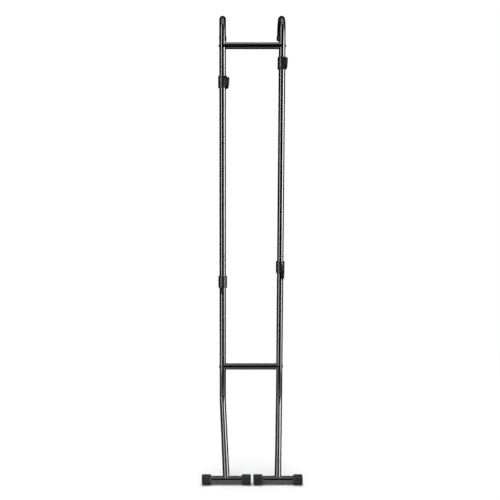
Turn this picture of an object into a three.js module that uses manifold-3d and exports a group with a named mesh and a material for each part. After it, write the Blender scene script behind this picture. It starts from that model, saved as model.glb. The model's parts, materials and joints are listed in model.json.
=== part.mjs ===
// Bike storage tower: two bent steel poles that lean against a wall, joined by two crossbars,
// each standing on a T-shaped foot and carrying two hook arms that slide and swing on the pole.
// Millimetres, +Z up, +X to the right as seen from the front, the hooks point to -Y.
// The origin is at floor level, in the middle of the tower's width and depth.

import * as THREE from 'three';
import { mergeVertices } from 'three/addons/utils/BufferGeometryUtils.js';
import Module from 'manifold-3d';

const wasm = await Module();
wasm.setup();

// Fits shared by all pieces
const seatGap = 0.3;
const cutOverrun = 2;
const samePlace = 0.01;

// Steel tube of the frame
const tubeRadius = 16;
const tubeWall = 1.5;
const spigotLength = 55;
const shoulderLength = 2.4;

// Pole, from the floor up
const poleSpacing = 284;
const legTopHeight = 589.5;
const lowerPoleLength = 490;
const upperPoleLength = 551.5;
const caneStraightLength = 528;
const caneBendRadius = 65;
const caneTipLength = 22;

// Leg and T-foot
const kneeHeight = 345;
const kneeBendRadius = 100;
const footReach = 210;
const footInset = 18;
const stubLength = 86;
const footOuterReach = 118;
const footGap = 12;

// Fluted end caps of the feet
const capRadius = 23.5;
const capLength = 44;
const capEndThickness = 4;
const capCornerRadius = 3.5;
const capPadDepth = 0.9;
const fluteCount = 16;
const fluteDepth = 1.1;
const fluteWidthShare = 0.42;

// Rubber boots on the cane ends
const bootWall = 1.9;
const bootMouthDrop = 1;
const bootEndThickness = 3;
const bootPadDepth = 0.8;
const bootLead = 1.2;

// Crossbars and their bolts
const topBarDrop = 69.5;
const lowerBarDrop = 69;
const plugLength = 18;
const plugSetback = 1.5;
const boltRadius = 4;
const boltHeadRadius = 6.5;
const boltHeadHeight = 2.6;
const boltHeadEdge = 1;

// Places of the four arms on the poles, and how far each has swung to the right
const leftUpperArmDrop = 169.5;
const rightUpperArmDrop = 81.5;
const leftLowerArmRise = 430.5;
const rightLowerArmRise = 504;
const leftUpperSwing = 10.5;
const rightUpperSwing = 4;
const leftLowerSwing = 0;
const rightLowerSwing = 1.5;

// Split liner bush between pole and collar
const bushWall = 2.9;
const bushHeight = 57;
const bushFlangeThickness = 3;
const bushSlitWidth = 3;

// Collar with its threaded boss
const collarWall = 2;
const bossRadius = 8;
const bossLength = 8;

// Hook rod, bent from one round bar
const rodRadius = 4;
const rodRise = 16;
const rodReach = 80;
const rodBendRadius = 14;
const cradleRadius = 26;
const cradleDepth = 38.5;
const lipReach = 148;
const lipRise = 7;
const lipLean = 15;

// Soft cover dipped over the hook
const coverWall = 1.2;
const coverStart = 46;
const coverTipThickness = 2.5;

// Clamp knob behind the collar
const knobStandoff = 1.5;
const knobHubRadius = 8.5;
const knobHubLength = 4;
const knobThickness = 11;
const knobLobes = 5;
const knobRadius = 12.6;
const knobLobeHeight = 1.4;
const knobEdge = 1.5;
const knobFloor = 4;

// Facets
const tubeSides = 16;
const sleeveSides = 20;
const rodSides = 8;
const screwSides = 10;
const caneBendStep = 20;
const kneeBendStep = 11;
const rodBendStep = 30;
const knobOutlineSteps = 25;

// Sizes worked out from those above
const boreRadius = tubeRadius - tubeWall;
const spigotRadius = boreRadius - seatGap;
const footTubeHeight = capRadius - capPadDepth;
const poleSide = poleSpacing / 2;
const footSide = poleSide - footInset;
const footInnerReach = footSide - footGap / 2;
const lowerSeamHeight = legTopHeight + lowerPoleLength;
const upperSeamHeight = lowerSeamHeight + upperPoleLength;
const caneBendHeight = upperSeamHeight + caneStraightLength;
const topBarHeight = caneBendHeight - topBarDrop;
const lowerBarHeight = legTopHeight - lowerBarDrop;
const bushBore = tubeRadius + seatGap;
const bushRadius = bushBore + bushWall;
const collarBore = bushRadius + seatGap;
const collarRadius = collarBore + collarWall;
const collarHeight = bushHeight - 2 * (bushFlangeThickness + seatGap);
const coverRadius = rodRadius + seatGap + coverWall;

// Corner radii of the faceted bores that a tube, a rod or a screw passes through
const tubeBore = boreCorner(boreRadius, tubeSides);
const tubeSocket = boreCorner(tubeRadius + seatGap, tubeSides);
const rodBore = boreCorner(rodRadius + seatGap, rodSides);
const screwBore = boreCorner(boltRadius + seatGap, screwSides);

// Materials
function finish(color, roughness, metalness) {
  return new THREE.MeshStandardMaterial({ color, roughness, metalness });
}

const glossBlackSteel = () => finish(0x141416, 0.25, 0.3);
const satinBlackSteel = () => finish(0x26262a, 0.5, 0.2);
const blackZincSteel = () => finish(0x3a3a3e, 0.4, 0.8);
const liningPlastic = () => finish(0x303033, 0.6, 0);
const softCover = () => finish(0x1d1d1f, 0.75, 0);
const footRubber = () => finish(0x2c2c2e, 0.85, 0);
const knobPlastic = () => finish(0x1b1b1d, 0.55, 0);

// A path of straight runs joined by round bends, with stations only where the shape needs them.
class BentPath extends THREE.Curve {
  constructor(corners, bends) {
    super();
    this.stations = [];
    const last = corners.length - 1;
    const heading = corners.slice(1).map((corner, i) => corner.clone().sub(corners[i]).normalize());
    this.addStation(corners[0].clone(), heading[0]);
    for (let i = 1; i < last; i += 1) {
      this.addBend(corners[i], heading[i - 1], heading[i], bends[i - 1]);
    }
    this.addStation(corners[last].clone(), heading[last - 1]);
  }

  // Where one bend runs straight into the next, the shared place is one station.
  addStation(point, tangent) {
    const previous = this.stations.at(-1);
    if (!previous || previous.point.distanceTo(point) > samePlace) {
      this.stations.push({ point, tangent });
    }
  }

  addBend(corner, before, after, bend) {
    const turn = before.angleTo(after);
    const setback = bend.radius * Math.tan(turn / 2);
    const axis = before.clone().cross(after).normalize();
    const start = corner.clone().addScaledVector(before, -setback);
    const inward = axis.clone().cross(before).normalize();
    const centre = start.clone().addScaledVector(inward, bend.radius);
    const steps = Math.max(1, Math.round(THREE.MathUtils.radToDeg(turn) / bend.step));
    for (let i = 0; i <= steps; i += 1) {
      const angle = turn * i / steps;
      const point = start.clone().sub(centre).applyAxisAngle(axis, angle).add(centre);
      this.addStation(point, before.clone().applyAxisAngle(axis, angle));
    }
  }

  get steps() {
    return this.stations.length - 1;
  }

  blendStations(t, key, target) {
    const place = t * this.steps;
    const i = Math.min(Math.floor(place), this.steps - 1);
    return target.lerpVectors(this.stations[i][key], this.stations[i + 1][key], place - i);
  }

  getPoint(t, target = new THREE.Vector3()) {
    return this.blendStations(t, 'point', target);
  }

  getTangent(t, target = new THREE.Vector3()) {
    return this.blendStations(t, 'tangent', target).normalize();
  }

  // The stations are used as they are, not spread evenly by length.
  getUtoTmapping(u) {
    return u;
  }
}

// Round outline with a given number of sides, with its corners on the radius.
function roundOutline(radius, sides) {
  const points = [];
  for (let i = 0; i < sides; i += 1) {
    const angle = 2 * Math.PI * (i + 0.5) / sides;
    points.push(new THREE.Vector2(radius * Math.cos(angle), radius * Math.sin(angle)));
  }
  return points;
}

// A bore keeps its full radius at the middle of each facet, so a round piece clears it.
function boreCorner(radius, sides) {
  return radius / Math.cos(Math.PI / sides);
}

// Solid bar or hollow tube along a path.
function sweep(path, radius, sides, bore = 0) {
  const section = new THREE.Shape(roundOutline(radius, sides));
  if (bore > 0) {
    section.holes.push(new THREE.Path(roundOutline(bore, sides)));
  }
  return new THREE.ExtrudeGeometry(section, { steps: path.steps, bevelEnabled: false, extrudePath: path });
}

// Turned piece: the profile lists [radius, height] pairs, and the axis becomes Z.
function turned(profile, sides) {
  const points = profile.map(([radius, height]) => new THREE.Vector2(radius, height));
  const geometry = new THREE.LatheGeometry(points, sides, Math.PI / sides, 2 * Math.PI);
  return geometry.rotateX(Math.PI / 2);
}

// Plain round bar from one height to another.
function bar(radius, from, to, sides) {
  return turned([[0, from], [radius, from], [radius, to], [0, to]], sides);
}

// Closed solid of a geometry, for joining and cutting.
function solid(geometry) {
  const bare = new THREE.BufferGeometry();
  bare.setAttribute('position', geometry.getAttribute('position').clone());
  if (geometry.index) {
    bare.setIndex(geometry.index.clone());
  }
  const merged = mergeVertices(bare);
  const vertProperties = new Float32Array(merged.getAttribute('position').array);
  const triVerts = new Uint32Array(merged.index.array);
  return new wasm.Manifold(new wasm.Mesh({ numProp: 3, vertProperties, triVerts }));
}

// Geometry of a solid, with a flat normal on every facet.
function shape(joined) {
  const mesh = joined.getMesh();
  const geometry = new THREE.BufferGeometry();
  geometry.setAttribute('position', new THREE.BufferAttribute(mesh.vertProperties, 3));
  geometry.setIndex(new THREE.BufferAttribute(mesh.triVerts, 1));
  const faceted = geometry.toNonIndexed();
  faceted.computeVertexNormals();
  return faceted;
}

// Named mesh of one piece.
function piece(name, geometry, material) {
  const mesh = new THREE.Mesh(geometry, material);
  mesh.name = name;
  return mesh;
}

// Rotation that turns the Z axis to a direction.
function turnTo(direction) {
  const up = new THREE.Vector3(0, 0, 1);
  const turn = new THREE.Quaternion().setFromUnitVectors(up, direction);
  return new THREE.Matrix4().makeRotationFromQuaternion(turn);
}

// Bar along X through a height, for the crossbars, bolts and bolt holes.
function barAlongX(radius, from, to, height, sides) {
  return bar(radius, from, to, sides).rotateY(Math.PI / 2).translate(0, 0, height);
}

// Straight pole tube: open below, swaged above to enter the next tube.
function poleTube(length) {
  return turned([
    [tubeBore, 0],
    [tubeRadius, 0],
    [tubeRadius, length - shoulderLength],
    [spigotRadius, length],
    [spigotRadius, length + spigotLength],
    [spigotRadius - tubeWall, length + spigotLength],
    [spigotRadius - tubeWall, length],
    [tubeBore, length - shoulderLength],
    [tubeBore, 0],
  ], tubeSides);
}

// Ring that takes a swept tube down to its swaged end, and the bore of that end.
function swageTools() {
  const outside = tubeRadius + cutOverrun;
  const above = spigotLength + cutOverrun;
  const trim = turned([
    [tubeRadius, -shoulderLength],
    [outside, -shoulderLength],
    [outside, above],
    [spigotRadius, above],
    [spigotRadius, 0],
    [tubeRadius, -shoulderLength],
  ], tubeSides);
  const bore = turned([
    [0, -shoulderLength - cutOverrun],
    [tubeBore, -shoulderLength - cutOverrun],
    [tubeBore, -shoulderLength],
    [spigotRadius - tubeWall, 0],
    [spigotRadius - tubeWall, above],
    [0, above],
  ], tubeSides);
  return { trim, bore };
}

// Cane: the top of a pole, bent over backwards, with holes for the crossbar bolt.
function caneTube() {
  const foot = upperSeamHeight + seatGap;
  const crown = caneBendHeight + caneBendRadius;
  const corners = [
    new THREE.Vector3(0, 0, foot),
    new THREE.Vector3(0, 0, crown),
    new THREE.Vector3(0, 2 * caneBendRadius, crown),
    new THREE.Vector3(0, 2 * caneBendRadius, caneBendHeight - caneTipLength),
  ];
  const bend = { radius: caneBendRadius, step: caneBendStep };
  const tube = solid(sweep(new BentPath(corners, [bend, bend]), tubeRadius, tubeSides, tubeBore));
  const reach = tubeRadius + cutOverrun;
  const hole = solid(barAlongX(screwBore, -reach, reach, topBarHeight, screwSides));
  return shape(tube.subtract(hole));
}

// Direction of a leg below its knee, for the left pole (1) or the right pole (-1).
function legDirection(inward) {
  return new THREE.Vector3(inward * footInset, -footReach, footTubeHeight - kneeHeight).normalize();
}

// Point on a leg at a distance above the axis of its foot tube.
function pointOnLeg(inward, distance) {
  const foot = new THREE.Vector3(inward * footInset, -footReach, footTubeHeight);
  return foot.addScaledVector(legDirection(inward), -distance);
}

// Leg tube: swaged above, bent forwards at the knee, open below over the foot's stub.
function legTube(inward) {
  const bend = { radius: kneeBendRadius, step: kneeBendStep };
  const knee = new THREE.Vector3(0, 0, kneeHeight);
  const bottom = pointOnLeg(inward, stubLength + seatGap);
  const pathFrom = (height, end) => new BentPath([new THREE.Vector3(0, 0, height), knee, end], [bend]);
  const past = bottom.clone().addScaledVector(legDirection(inward), cutOverrun);
  const { trim, bore } = swageTools();
  const outside = solid(sweep(pathFrom(legTopHeight + spigotLength, bottom), tubeRadius, tubeSides));
  const borePath = pathFrom(legTopHeight - shoulderLength, past);
  const inside = solid(sweep(borePath, tubeBore, tubeSides));
  const reach = tubeRadius + cutOverrun;
  const hole = solid(barAlongX(screwBore, -reach, reach, lowerBarHeight, screwSides));
  return shape(
    outside
      .subtract(solid(trim.translate(0, 0, legTopHeight)))
      .subtract(inside)
      .subtract(solid(bore.translate(0, 0, legTopHeight)))
      .subtract(hole),
  );
}

// T-foot: a cross tube on the floor with an inclined, swaged stub welded on.
function footTube(inward) {
  const centre = new THREE.Vector3(inward * footInset, -footReach, footTubeHeight);
  const inner = footInnerReach - capEndThickness - seatGap;
  const outer = footOuterReach - capEndThickness - seatGap;
  const from = inward > 0 ? -outer : -inner;
  const to = inward > 0 ? inner : outer;
  const along = (radius, start, end) => solid(
    bar(radius, start, end, tubeSides).rotateY(Math.PI / 2).translate(centre.x, centre.y, centre.z),
  );
  const crossOutside = along(tubeRadius, from, to);
  const crossBore = along(tubeBore, from - cutOverrun, to + cutOverrun);
  const upward = turnTo(legDirection(inward).negate());
  const place = (geometry, distance) => {
    const seat = pointOnLeg(inward, distance);
    return solid(geometry.applyMatrix4(upward).translate(seat.x, seat.y, seat.z));
  };
  const { trim, bore } = swageTools();
  const stubOutside = place(bar(tubeRadius, 0, stubLength + spigotLength, tubeSides), 0)
    .subtract(place(trim, stubLength));
  const stubBore = place(bar(tubeBore, 0, stubLength - shoulderLength, tubeSides), 0)
    .add(place(bore, stubLength))
    .subtract(crossOutside);
  return shape(crossOutside.add(stubOutside).subtract(crossBore).subtract(stubBore));
}

// Fluted rubber cap on a foot tube: closed at +X, open at -X, flat where it rests on the floor.
function footCap() {
  const crest = capRadius - capCornerRadius;
  const crestShare = 1 - fluteWidthShare;
  const flute = [[-crestShare / 2, crest], [crestShare / 2, crest], [1 / 2, crest - fluteDepth]];
  const points = [];
  for (let i = 0; i < fluteCount; i += 1) {
    for (const [share, radius] of flute) {
      const angle = 2 * Math.PI * (i + share) / fluteCount;
      points.push(new THREE.Vector2(radius * Math.cos(angle), radius * Math.sin(angle)));
    }
  }
  const body = new THREE.ExtrudeGeometry(new THREE.Shape(points), {
    depth: capLength - capCornerRadius,
    bevelSize: capCornerRadius,
    bevelThickness: capCornerRadius,
    bevelSegments: 1,
  });
  const bore = bar(tubeSocket, -cutOverrun - capCornerRadius, capLength - capEndThickness, tubeSides);
  const mouth = new THREE.BoxGeometry(4 * capRadius, 4 * capRadius, capCornerRadius)
    .translate(0, 0, -capCornerRadius / 2);
  const floor = new THREE.BoxGeometry(2 * capRadius, 4 * capRadius, 4 * capLength)
    .translate(footTubeHeight + capRadius, 0, 0);
  return shape(solid(body).subtract(solid(bore)).subtract(solid(mouth)).subtract(solid(floor)))
    .translate(0, 0, -capLength)
    .rotateY(Math.PI / 2);
}

// Rubber boot on a cane's tip: open above, closed below, with a flat back for the wall.
function wallBoot() {
  const outside = tubeRadius + seatGap + bootWall;
  const floor = -bootEndThickness - seatGap;
  const mouth = caneTipLength - bootMouthDrop;
  const cup = turned([
    [0, floor],
    [outside - bootLead, floor],
    [outside, floor + bootLead],
    [outside, mouth],
    [tubeSocket, mouth],
    [tubeSocket, -seatGap],
    [0, -seatGap],
  ], tubeSides);
  const wall = new THREE.BoxGeometry(4 * outside, 2 * outside, 4 * caneTipLength)
    .translate(0, 2 * outside - bootPadDepth, 0);
  return shape(solid(cup).subtract(solid(wall)));
}

// Crossbar between the poles, each end coped to the pole's round side.
function crossbar() {
  const past = poleSide + cutOverrun;
  const tube = solid(barAlongX(tubeRadius, -poleSide, poleSide, 0, tubeSides));
  const bore = solid(barAlongX(tubeBore, -past, past, 0, tubeSides));
  const copeReach = tubeRadius + cutOverrun;
  const cope = bar(tubeSocket, -copeReach, copeReach, tubeSides);
  const leftCope = solid(cope.clone().translate(-poleSide, 0, 0));
  const rightCope = solid(cope.clone().translate(poleSide, 0, 0));
  return shape(tube.subtract(bore).subtract(leftCope).subtract(rightCope));
}

// Threaded plug pressed into a crossbar's end; it starts just inside the coped end.
function crossbarPlug() {
  const start = tubeRadius + plugSetback;
  return turned([
    [screwBore, start],
    [spigotRadius, start],
    [spigotRadius, start + plugLength],
    [screwBore, start + plugLength],
    [screwBore, start],
  ], screwSides).rotateY(Math.PI / 2);
}

// Low-headed bolt through a pole into the plug, with its head on the pole's outer side.
function crossbarBolt() {
  const seat = -tubeRadius - seatGap;
  return turned([
    [0, seat - boltHeadHeight],
    [boltHeadRadius - boltHeadHeight, seat - boltHeadHeight],
    [boltHeadRadius, seat - boltHeadEdge],
    [boltHeadRadius, seat],
    [boltRadius, seat],
    [boltRadius, tubeRadius + plugSetback + plugLength],
    [0, tubeRadius + plugSetback + plugLength],
  ], screwSides).rotateY(Math.PI / 2);
}

// Split liner bush: a flanged sleeve that grips the pole when the knob is tight.
function linerBush() {
  const half = bushHeight / 2;
  const inner = boreCorner(bushBore, sleeveSides);
  const flange = half - bushFlangeThickness;
  const sleeve = turned([
    [inner, -half],
    [collarRadius, -half],
    [collarRadius, -flange],
    [bushRadius, -flange],
    [bushRadius, flange],
    [collarRadius, flange],
    [collarRadius, half],
    [inner, half],
    [inner, -half],
  ], sleeveSides);
  const slit = new THREE.BoxGeometry(2 * collarRadius, bushSlitWidth, bushHeight + cutOverrun)
    .translate(-collarRadius, 0, 0);
  return shape(solid(sleeve).subtract(solid(slit)));
}

// Collar: a steel sleeve with a drilled seat for the rod in front and a threaded boss behind.
function collar() {
  const half = collarHeight / 2;
  const outside = solid(turned([
    [0, -half],
    [collarRadius, -half],
    [collarRadius, half],
    [0, half],
  ], sleeveSides));
  const alongY = (radius, from, to, sides) => solid(bar(radius, from, to, sides).rotateX(-Math.PI / 2));
  const boss = alongY(bossRadius, 0, collarRadius + bossLength, tubeSides);
  const past = half + cutOverrun;
  const bore = solid(bar(boreCorner(collarBore, sleeveSides), -past, past, sleeveSides));
  const thread = alongY(screwBore, 0, collarRadius + bossLength + cutOverrun, screwSides);
  const rodSeat = alongY(rodBore, -collarRadius - cutOverrun, 0, rodSides).translate(0, 0, rodRise);
  return shape(outside.add(boss).subtract(bore).subtract(thread).subtract(rodSeat));
}

// Centre line of the hook, from a distance in front of the pole to a distance short of the lip's end.
function hookPath(start, short) {
  const lean = THREE.MathUtils.degToRad(lipLean);
  const lipEnd = new THREE.Vector3(0, -lipReach, lipRise);
  const lipFoot = new THREE.Vector3(0, -lipReach + (lipRise + cradleDepth) * Math.tan(lean), -cradleDepth);
  const lipDirection = lipEnd.clone().sub(lipFoot).normalize();
  const corners = [
    new THREE.Vector3(0, -start, rodRise),
    new THREE.Vector3(0, -rodReach, rodRise),
    new THREE.Vector3(0, -rodReach, -cradleDepth),
    lipFoot,
    lipEnd.addScaledVector(lipDirection, -short),
  ];
  const cradle = { radius: cradleRadius, step: rodBendStep };
  return new BentPath(corners, [{ radius: rodBendRadius, step: rodBendStep }, cradle, cradle]);
}

// Hook rod, seated in the collar's wall.
function hookRod() {
  return sweep(hookPath(collarBore + seatGap, coverTipThickness + seatGap), rodRadius, rodSides);
}

// Soft cover over the hook, closed over the rod's end.
function hookCover() {
  const outside = solid(sweep(hookPath(coverStart, 0), coverRadius, rodSides));
  const inside = solid(sweep(hookPath(coverStart - cutOverrun, coverTipThickness), rodBore, rodSides));
  return shape(outside.subtract(inside));
}

// Screw of the clamp knob, from the bush through the boss into the grip.
function knobScrew() {
  const end = collarRadius + bossLength + knobStandoff + knobHubLength + knobThickness - knobFloor;
  return bar(boltRadius, collarBore, end, screwSides).rotateX(-Math.PI / 2);
}

// Lobed grip of the clamp knob, with a hub towards the boss and a blind hole for the screw.
function knobGrip() {
  const start = collarRadius + bossLength + knobStandoff;
  const points = [];
  for (let i = 0; i < knobOutlineSteps; i += 1) {
    const angle = 2 * Math.PI * i / knobOutlineSteps;
    const radius = knobRadius - knobEdge + knobLobeHeight * Math.cos(knobLobes * angle);
    points.push(new THREE.Vector2(radius * Math.cos(angle), radius * Math.sin(angle)));
  }
  const star = new THREE.ExtrudeGeometry(new THREE.Shape(points), {
    depth: knobThickness - 2 * knobEdge,
    bevelSize: knobEdge,
    bevelThickness: knobEdge,
    bevelSegments: 1,
  }).translate(0, 0, start + knobHubLength + knobEdge);
  const hub = bar(knobHubRadius, start, start + knobHubLength + knobEdge, tubeSides);
  const holeEnd = start + knobHubLength + knobThickness - knobFloor + seatGap;
  const hole = bar(screwBore, start - cutOverrun, holeEnd, screwSides);
  return shape(solid(star).add(solid(hub)).subtract(solid(hole))).rotateX(-Math.PI / 2);
}

const tower = new THREE.Group();

// The two poles with their feet
for (const [side, inward] of [['left', 1], ['right', -1]]) {
  const pole = new THREE.Group();
  pole.position.x = -inward * poleSide;
  pole.add(piece(`${side}_cane_tube`, caneTube(), glossBlackSteel()));

  const upper = piece(`${side}_upper_pole`, poleTube(upperPoleLength - seatGap), glossBlackSteel());
  upper.position.z = lowerSeamHeight + seatGap;
  pole.add(upper);

  const lower = piece(`${side}_lower_pole`, poleTube(lowerPoleLength - seatGap), glossBlackSteel());
  lower.position.z = legTopHeight + seatGap;
  pole.add(lower);

  pole.add(piece(`${side}_leg_tube`, legTube(inward), glossBlackSteel()));
  pole.add(piece(`${side}_foot_tube`, footTube(inward), glossBlackSteel()));

  const boot = piece(`${side}_wall_boot`, wallBoot(), footRubber());
  boot.position.set(0, 2 * caneBendRadius, caneBendHeight - caneTipLength);
  pole.add(boot);

  const innerCap = piece(`${side}_inner_foot_cap`, footCap(), footRubber());
  innerCap.position.set(inward * (footInset + footInnerReach), -footReach, footTubeHeight);
  innerCap.rotation.z = inward > 0 ? 0 : Math.PI;
  pole.add(innerCap);

  const outerCap = piece(`${side}_outer_foot_cap`, footCap(), footRubber());
  outerCap.position.set(inward * (footInset - footOuterReach), -footReach, footTubeHeight);
  outerCap.rotation.z = inward > 0 ? Math.PI : 0;
  pole.add(outerCap);
  tower.add(pole);
}

// The two crossbars, each with a plug and a bolt at both ends
for (const [level, height] of [['top', topBarHeight], ['lower', lowerBarHeight]]) {
  const rail = new THREE.Group();
  rail.position.z = height;
  rail.add(piece(`${level}_crossbar`, crossbar(), glossBlackSteel()));
  for (const [side, inward] of [['left', 1], ['right', -1]]) {
    const joint = new THREE.Group();
    joint.position.x = -inward * poleSide;
    joint.rotation.z = inward > 0 ? 0 : Math.PI;
    joint.add(piece(`${level}_${side}_plug`, crossbarPlug(), liningPlastic()));
    joint.add(piece(`${level}_${side}_bolt`, crossbarBolt(), blackZincSteel()));
    rail.add(joint);
  }
  tower.add(rail);
}

// The four arms: the bush slides on the pole, and everything else swings round it
const arms = [
  ['left_upper', -poleSide, topBarHeight - leftUpperArmDrop, leftUpperSwing],
  ['right_upper', poleSide, topBarHeight - rightUpperArmDrop, rightUpperSwing],
  ['left_lower', -poleSide, lowerBarHeight + leftLowerArmRise, leftLowerSwing],
  ['right_lower', poleSide, lowerBarHeight + rightLowerArmRise, rightLowerSwing],
];
for (const [name, across, height, swing] of arms) {
  const slider = new THREE.Group();
  slider.position.set(across, 0, height);
  slider.add(piece(`${name}_bush`, linerBush(), liningPlastic()));

  const arm = new THREE.Group();
  arm.rotation.z = THREE.MathUtils.degToRad(swing);
  arm.add(piece(`${name}_collar`, collar(), satinBlackSteel()));
  arm.add(piece(`${name}_hook_rod`, hookRod(), satinBlackSteel()));
  arm.add(piece(`${name}_hook_cover`, hookCover(), softCover()));
  arm.add(piece(`${name}_knob_screw`, knobScrew(), blackZincSteel()));
  arm.add(piece(`${name}_knob_grip`, knobGrip(), knobPlastic()));
  slider.add(arm);
  tower.add(slider);
}

// The origin lies midway between the front of the feet and the back of the wall boots.
const extent = new THREE.Box3().setFromObject(tower, true);
tower.position.y = -(extent.min.y + extent.max.y) / 2;

const group = new THREE.Group();
group.add(tower);

export default group;
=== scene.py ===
"""Looks of the bike storage tower: two cane-topped steel poles that lean back, joined by two
crossbars, each on a T-foot with fluted caps, and each with two hook arms that slide and swing.

Metres, +Z up, +X to the right as seen from the front; the hooks point to -Y.
"""

import json
import math

import bmesh
import bpy
from mathutils import Matrix, Vector


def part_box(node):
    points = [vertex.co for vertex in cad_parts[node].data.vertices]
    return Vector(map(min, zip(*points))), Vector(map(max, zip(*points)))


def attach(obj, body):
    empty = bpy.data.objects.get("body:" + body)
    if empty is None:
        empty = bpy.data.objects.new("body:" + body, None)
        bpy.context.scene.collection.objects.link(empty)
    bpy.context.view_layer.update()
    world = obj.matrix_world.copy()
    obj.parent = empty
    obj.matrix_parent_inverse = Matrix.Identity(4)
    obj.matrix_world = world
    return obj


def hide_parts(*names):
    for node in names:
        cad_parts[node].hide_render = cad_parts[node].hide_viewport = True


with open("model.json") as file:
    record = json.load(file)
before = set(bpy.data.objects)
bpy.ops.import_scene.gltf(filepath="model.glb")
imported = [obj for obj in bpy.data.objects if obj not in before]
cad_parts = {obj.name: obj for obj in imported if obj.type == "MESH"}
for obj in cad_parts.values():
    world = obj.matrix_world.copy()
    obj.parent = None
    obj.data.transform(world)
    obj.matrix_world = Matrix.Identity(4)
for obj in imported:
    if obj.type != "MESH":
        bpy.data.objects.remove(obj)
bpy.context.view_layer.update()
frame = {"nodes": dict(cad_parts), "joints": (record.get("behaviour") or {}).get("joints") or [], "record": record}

MM = 0.001
UP = Vector((0, 0, 1))
ACROSS = Vector((1, 0, 0))
BACK = Vector((0, 1, 0))
FRONT = Vector((0, -1, 0))

# Steel tube of the frame
TUBE_RADIUS = 16 * MM
TUBE_WALL = 1.5 * MM
SPIGOT_RADIUS = 14.2 * MM
SPIGOT_LENGTH = 55 * MM
SHOULDER_LENGTH = 2.4 * MM
TUBE_EDGE = 0.5 * MM

# Cane, leg and foot
CANE_BEND_RADIUS = 65 * MM
CANE_TIP_LENGTH = 22 * MM
KNEE_HEIGHT = 345 * MM
KNEE_BEND_RADIUS = 100 * MM
FOOT_INSET = 18 * MM
FOOT_REACH = 210 * MM
STUB_LENGTH = 86 * MM
CANE_STRAIGHT = 528 * MM
SEAT_GAP = 0.3 * MM
SAME_PLACE = 0.001 * MM

# Fluted foot caps
CAP_RADIUS = 23.5 * MM
CAP_LENGTH = 44 * MM
CAP_PAD_DEPTH = 0.9 * MM
CAP_CORNER = 3.6 * MM
CAP_FLOOR = 4 * MM
CAP_LIP = 2.2 * MM
FLUTES = 16
FLUTE_DEPTH = 1.9 * MM
FLUTE_SHARPNESS = 1.6
FLUTE_RUN_OUT = 1.6 * MM
CAP_MOUTH_EDGE = 0.4 * MM
CAP_COLLAR = 5 * MM
CAP_DISH = 0.6 * MM
CAP_DISH_RADIUS = 13 * MM

# Rubber boots on the cane ends
BOOT_RADIUS = 18.2 * MM
BOOT_CORNER = 3 * MM
BOOT_FLOOR = 3 * MM
BOOT_RIBS = 3
BOOT_RIB_DEPTH = 0.5 * MM
BOOT_RIB_SHARE = 0.45
BOOT_RIB_PROFILE = ((0, 0), (0.3, 1), (0.7, 1), (1, 0))
BOOT_PLAIN_PITCHES = 2
BOOT_EDGE = 0.4 * MM

# Crossbar bolts
BOLT_RADIUS = 4 * MM
BOLT_HEAD_RADIUS = 6.5 * MM
BOLT_HEAD_HEIGHT = 2.6 * MM
BOLT_SOCKET = 2.3 * MM
BOLT_SOCKET_DEPTH = 1.6 * MM
BOLT_LENGTH = 33 * MM
BOLT_RIM_SHARE = 0.3
BOLT_FLAT_SHARE = 0.5

# Liner bush and collar
BUSH_BORE = 16.3 * MM
BUSH_RADIUS = 19.2 * MM
BUSH_FLANGE = 3 * MM
BUSH_SLIT = 3 * MM
BUSH_HEIGHT = 57 * MM
BUSH_EDGE = 0.5 * MM
COLLAR_EDGE = 0.4 * MM
COLLAR_BORE = 19.5 * MM
COLLAR_RADIUS = 21.5 * MM
BOSS_RADIUS = 8 * MM
BOSS_LENGTH = 8 * MM

# Hook rod and its cover
ROD_RADIUS = 4 * MM
ROD_EDGE = 0.5 * MM
ROD_RISE = 16 * MM
ROD_REACH = 80 * MM
ROD_BEND_RADIUS = 14 * MM
CRADLE_RADIUS = 26 * MM
CRADLE_DEPTH = 38.5 * MM
LIP_REACH = 148 * MM
LIP_RISE = 7 * MM
LIP_LEAN = math.radians(15)
COVER_START = 46 * MM
COVER_RADIUS = 5.5 * MM
COVER_WALL = 1.1 * MM
COVER_TIP = 2.5 * MM
COVER_DOME = 4.5 * MM
COVER_LIP = 0.9 * MM
COVER_EDGE = 0.3 * MM

# Clamp knob
KNOB_START = COLLAR_RADIUS + BOSS_LENGTH + 1.5 * MM
KNOB_HUB_RADIUS = 8.5 * MM
KNOB_HUB_LENGTH = 4 * MM
KNOB_RADIUS = 12.6 * MM
KNOB_LOBE = 1.4 * MM
KNOB_LOBES = 5
KNOB_THICKNESS = 11 * MM
KNOB_EDGE = 1.8 * MM
KNOB_SMALL_EDGE = 0.5 * MM
KNOB_DISH = 0.8 * MM
KNOB_DISH_RADIUS = 8 * MM
KNOB_DISH_FLAT_RADIUS = KNOB_DISH_RADIUS / 3
SCREW_END = KNOB_START + KNOB_HUB_LENGTH + 7 * MM
THREAD_PITCH = 1.25 * MM
THREAD_DEPTH = 0.5 * MM

# Weld beads
BEAD_RADIUS = 1.5 * MM
BEAD_RIPPLE = 0.09
BEAD_RIPPLE_PITCH = 2.6 * MM
BEAD_RIPPLE_STEPS = 6
BEAD_SIDES = 10
BEAD_OUT_SHARE = 0.3
ROD_BEAD_OUT = 0.4 * MM
STUB_SINK = 0.5 * MM

# Smoothness
TUBE_SIDES = 64
ROD_SIDES = 32
BOLT_SIDES = 48
CAP_SIDES = 192
KNOB_SIDES = 100
CAP_CORNER_STEPS = 5
BOLT_DOME_STEPS = 6
KNOB_EDGE_STEPS = 4
BOOT_CORNER_STEPS = 4
COVER_DOME_STEPS = 5
BEND_STEP = math.radians(4)
EDGE_SEGMENTS = 3
SHARP_ANGLE = math.radians(28)

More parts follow.
